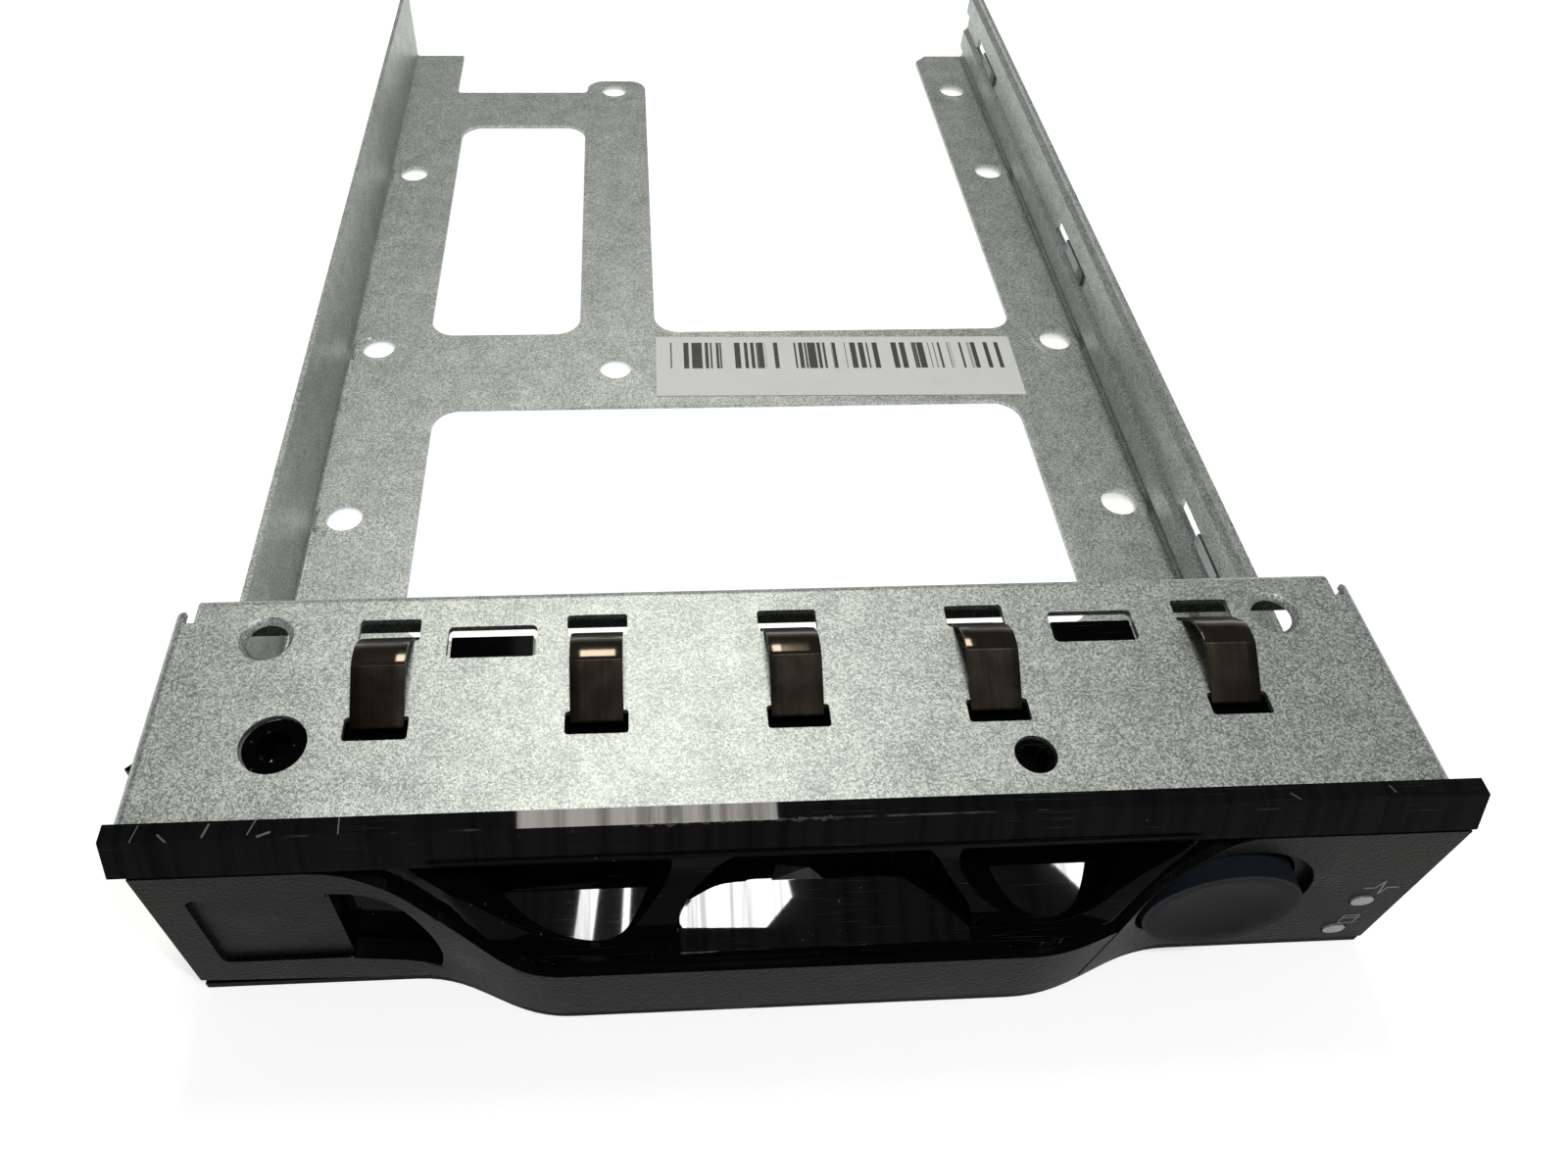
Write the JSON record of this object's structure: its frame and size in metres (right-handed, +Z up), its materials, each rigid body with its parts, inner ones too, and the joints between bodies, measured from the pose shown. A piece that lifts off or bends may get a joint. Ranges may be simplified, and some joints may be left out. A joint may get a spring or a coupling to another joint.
{
  "type": "hot swap drive caddy",
  "caption": "Open sheet metal tray for a hard disk with sprung top contacts, a glossy front, a swinging ejector lever and a round release button.",
  "frame": {"origin": "centre of the rectangle of disk screw holes, on the underside of the tray floor", "axes": "+X to the right as seen from the front, +Y from the front to the connector end, +Z up, out of the tray floor"},
  "size_m": [0.1097, 0.1772, 0.0269],
  "materials": {
    "galvanised_steel": "galvanised with fine spangle",
    "rivet_steel": "plain bright",
    "spring_steel": "dark nickel plated",
    "gloss_black_plastic": "high gloss",
    "textured_black_plastic": "fine grained",
    "pin_steel": "ground",
    "button_plastic": "satin",
    "latch_plastic": "smooth",
    "clear_plastic": "clear",
    "label_paper": "semi-gloss sticker"
  },
  "bodies": {
    "carrier": {"tray": "galvanised_steel", "front_bracket": "galvanised_steel", "bracket_rivets": "rivet_steel", "emi_spring_1": "spring_steel", "emi_spring_2": "spring_steel", "emi_spring_3": "spring_steel", "emi_spring_4": "spring_steel", "emi_spring_5": "spring_steel", "fascia": "gloss_black_plastic", "lever_hinge_pin": "pin_steel", "right_panel": "textured_black_plastic", "latch_pin": "pin_steel", "light_pipe": "clear_plastic", "id_label": "label_paper"},
    "lever": {"ejector_lever": "textured_black_plastic"},
    "button": {"release_button": "button_plastic"},
    "latch": {"latch": "latch_plastic"}
  },
  "joints": [
    {"name": "lever_swing", "type": "hinge", "parent": "carrier", "child": "lever", "pos_m": [-0.0484, -0.09052, 0.0111], "axis": [0, 0, -1], "range_deg": [0, 55]},
    {"name": "button_press", "type": "slide", "parent": "carrier", "child": "button", "axis": [0, 1, 0], "range_m": [0, 0.002], "stiffness_N_per_m": 500, "springref_m": -0.001},
    {"name": "latch_turn", "type": "hinge", "parent": "carrier", "child": "latch", "pos_m": [0.0254, -0.08172, 0.0055], "axis": [0, 0, 1], "range_deg": [0, 10]}
  ],
  "couplings": [
    {"joint": "latch_turn", "follows": "button_press", "rad_per_m": 87.2}
  ]
}
